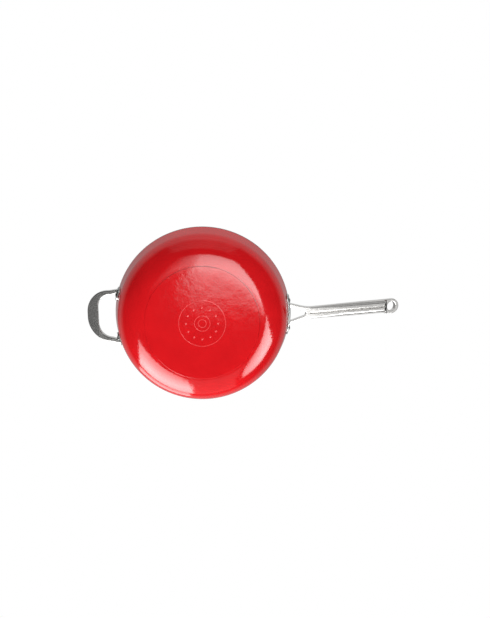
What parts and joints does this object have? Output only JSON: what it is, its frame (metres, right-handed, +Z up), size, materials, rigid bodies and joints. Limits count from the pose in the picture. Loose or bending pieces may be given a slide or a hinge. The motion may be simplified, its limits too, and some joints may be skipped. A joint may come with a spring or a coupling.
{
  "type": "deep cast iron skillet",
  "caption": "Deep enamelled cast iron skillet with a riveted long handle ending in a hanging hole and a riveted loop helper handle.",
  "frame": {"origin": "centre of the flat base, on the plane that the pan stands on", "axes": "+X along the long handle, +Z up, out of the pan's mouth; +Y completes the frame"},
  "size_m": [0.5594, 0.304, 0.1327],
  "materials": {
    "iron": "as cast, hidden under the enamel",
    "red_enamel": "gloss",
    "black_enamel": "satin",
    "satin_steel": "satin, polished on the edges",
    "rivet_steel": "polished"
  },
  "bodies": {
    "root": {"pan_casting": "iron", "outer_enamel": "red_enamel", "inner_enamel": "black_enamel", "long_handle": "satin_steel", "helper_handle": "satin_steel", "handle_rivet_left": "rivet_steel", "handle_rivet_right": "rivet_steel", "helper_rivet_left": "rivet_steel", "helper_rivet_right": "rivet_steel"}
  },
  "joints": []
}
